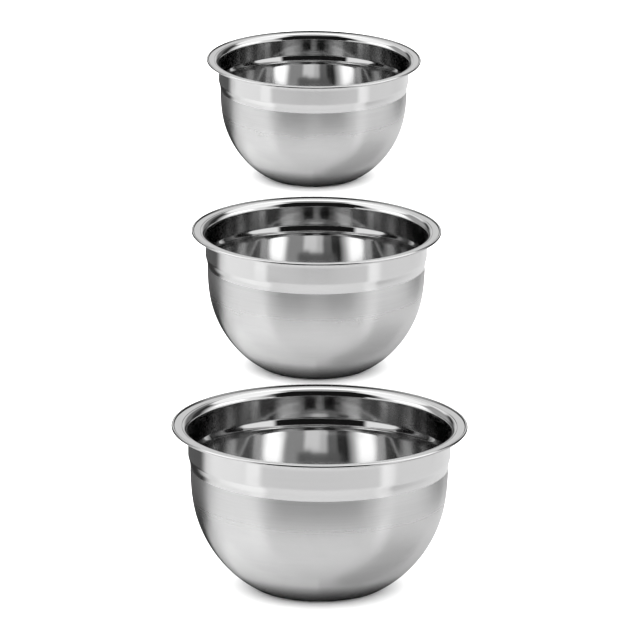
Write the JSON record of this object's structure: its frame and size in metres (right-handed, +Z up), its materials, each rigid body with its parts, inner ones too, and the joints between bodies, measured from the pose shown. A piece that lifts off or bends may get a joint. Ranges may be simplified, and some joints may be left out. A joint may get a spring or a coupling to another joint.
{
  "type": "mixing bowl set",
  "caption": "Set of round stainless steel mixing bowls in graded sizes: flat base, round belly, stepped upper band and a wide flat rim with a rolled edge.",
  "frame": {"origin": "middle of the large bowl's base, on the surface the bowls stand on", "axes": "+Z up, out of the bowls' mouths; the row runs from the large bowl towards +Y, turned 20 degrees towards +X"},
  "size_m": [0.7405, 1.6012, 0.1586],
  "materials": {
    "bowl_steel": "fine satin brushing round the outside, mirror polish inside and on the rim"
  },
  "bodies": {
    "large_bowl": {"large_bowl": "bowl_steel"},
    "medium_bowl": {"medium_bowl": "bowl_steel"},
    "small_bowl": {"small_bowl": "bowl_steel"}
  },
  "joints": [
    {"name": "medium_bowl_lift", "type": "slide", "parent": "large_bowl", "child": "medium_bowl", "axis": [0, 0, 1], "range_m": [0, 0.06]},
    {"name": "small_bowl_lift", "type": "slide", "parent": "large_bowl", "child": "small_bowl", "axis": [0, 0, 1], "range_m": [0, 0.06]}
  ]
}
